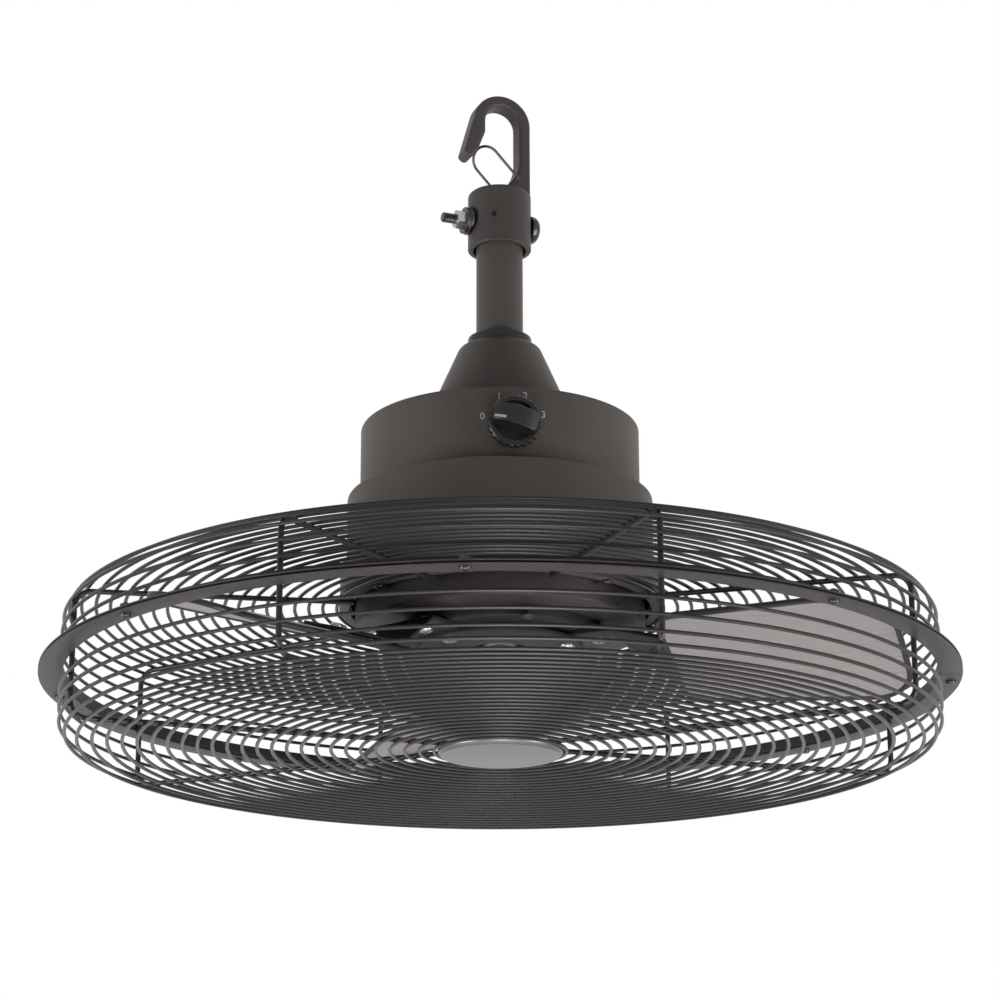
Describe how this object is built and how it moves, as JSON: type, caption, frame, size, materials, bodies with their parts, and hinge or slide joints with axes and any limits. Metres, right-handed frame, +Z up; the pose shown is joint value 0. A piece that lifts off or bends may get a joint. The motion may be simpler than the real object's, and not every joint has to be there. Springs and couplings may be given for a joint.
{
  "type": "portable ceiling fan",
  "caption": "Caged fan that hangs from a snap hook on a short rod: round wire guard, pitched metal blades, stepped motor housing and a rotary speed knob.",
  "frame": {"origin": "the hanging point: inside the crown of the hook, on the fan's axis", "axes": "+Z up along the rod, -Y the side with the speed knob, +X to the right of someone facing the knob"},
  "size_m": [0.5003, 0.5004, 0.3921],
  "materials": {
    "dark_bronze_paint": "fine textured powder coat, dark bronze",
    "hook_paint": "textured powder coat over a casting, dark bronze",
    "guard_wire": "satin powder coat, dark bronze",
    "rim_paint": "satin powder coat, dark bronze",
    "bell_paint": "satin dark paint",
    "arm_paint": "satin dark paint",
    "blade_aluminium": "fine brushed, satin",
    "cap_satin": "satin",
    "zinc_steel": "zinc plated",
    "zinc_wire": "zinc plated, drawn wire",
    "dark_steel": "black oxide",
    "cast_steel": "as cast, machined seats",
    "bearing_steel": "ground",
    "core_steel": "laminated, varnished",
    "winding_copper": "enamelled copper",
    "black_plastic": "matt, fine grain",
    "capacitor_plastic": "moulded block"
  },
  "bodies": {
    "frame": {"hook": "hook_paint", "hook_bolt": "dark_steel", "hook_bolt_washers": "zinc_steel", "hook_nut": "zinc_steel", "collar_set_screw": "dark_steel", "downrod": "dark_bronze_paint", "rod_seal": "black_plastic", "yoke_cover": "dark_bronze_paint", "rod_coupling": "cast_steel", "coupling_pin": "zinc_steel", "coupling_clip": "zinc_wire", "switch_housing": "dark_bronze_paint", "spacer_sleeve": "zinc_steel", "speed_switch": "black_plastic", "switch_nut": "zinc_steel", "run_capacitor": "capacitor_plastic", "cord_gland": "black_plastic", "gland_nut": "black_plastic", "motor_housing": "dark_bronze_paint", "motor_shaft": "cast_steel", "shaft_clip": "zinc_steel", "stator_core": "core_steel", "stator_windings": "winding_copper", "guard_mount_plate": "dark_bronze_paint", "guard_mount_screws": "dark_steel", "upper_guard_ribs": "guard_wire", "upper_guard_rings": "guard_wire", "upper_wall_rings": "guard_wire", "upper_rim": "rim_paint", "lower_rim": "rim_paint", "rim_screws": "dark_steel", "rim_nuts": "dark_steel", "lower_guard_ribs": "guard_wire", "lower_wall_rings": "guard_wire", "lower_inner_rings": "guard_wire", "lower_outer_rings": "guard_wire", "centre_cap": "cap_satin"},
    "rotor": {"lower_bearing": "bearing_steel", "upper_bearing": "bearing_steel", "rotor_ring": "core_steel", "lower_bell": "bell_paint", "upper_bell": "bell_paint", "bell_screws": "dark_steel", "arm_clamp_plate": "arm_paint", "arm_screws": "dark_steel", "blade_screws": "dark_steel", "blade_1": "blade_aluminium", "blade_2": "blade_aluminium", "blade_3": "blade_aluminium", "blade_arm_1": "arm_paint", "blade_arm_2": "arm_paint", "blade_arm_3": "arm_paint"},
    "knob": {"speed_knob": "black_plastic", "switch_spindle": "zinc_steel"},
    "gate": {"hook_gate": "zinc_wire"}
  },
  "joints": [
    {"name": "fan_spin", "type": "hinge", "parent": "frame", "child": "rotor", "pos_m": [0, 0, -0.2961], "axis": [0, 0, -1], "continuous": true},
    {"name": "speed_knob_turn", "type": "hinge", "parent": "frame", "child": "knob", "pos_m": [0.00772, -0.08013, -0.221], "axis": [-0.0958, 0.9954, 0], "range_deg": [0, 144]},
    {"name": "hook_gate_swing", "type": "hinge", "parent": "frame", "child": "gate", "pos_m": [0.00575, 0.00232, -0.0484], "axis": [-0.6214, 0.6869, -0.3769], "range_deg": [0, 34], "stiffness_Nm_per_rad": 0.02, "springref_deg": -11.46}
  ]
}
